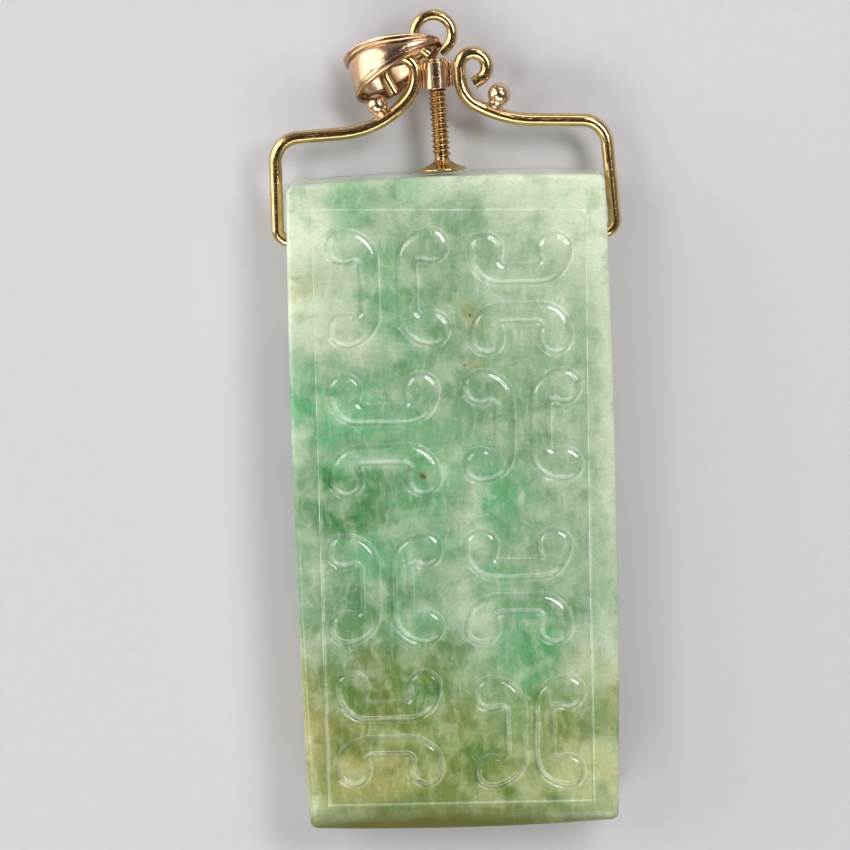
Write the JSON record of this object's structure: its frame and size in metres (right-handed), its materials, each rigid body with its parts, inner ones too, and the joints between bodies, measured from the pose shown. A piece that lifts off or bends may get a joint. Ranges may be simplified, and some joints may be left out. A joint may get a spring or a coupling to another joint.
{
  "type": "jade pendant",
  "caption": "Oblong carved jade tablet held by pins and a clamp screw in a bent-wire gold frame, with an eye ring and a tapered bail for a chain.",
  "frame": {"origin": "middle of the tablet's flat back", "axes": "+Z out of the carved face, +Y along the tablet towards the clamp and its ring, +X to the right as seen from above the carved face"},
  "size_m": [0.0267, 0.063, 0.007],
  "materials": {
    "jade": "polished, mottled pale to fresh green",
    "yellow_gold": "polished yellow gold, worn",
    "rose_gold": "polished rosy gold, worn"
  },
  "bodies": {
    "root": {"jade_tablet": "jade", "left_arm": "yellow_gold", "right_arm": "yellow_gold", "left_bead": "rose_gold", "right_bead": "rose_gold", "collar": "rose_gold", "clamp_screw": "yellow_gold", "ring": "yellow_gold", "bail": "rose_gold"}
  },
  "joints": []
}
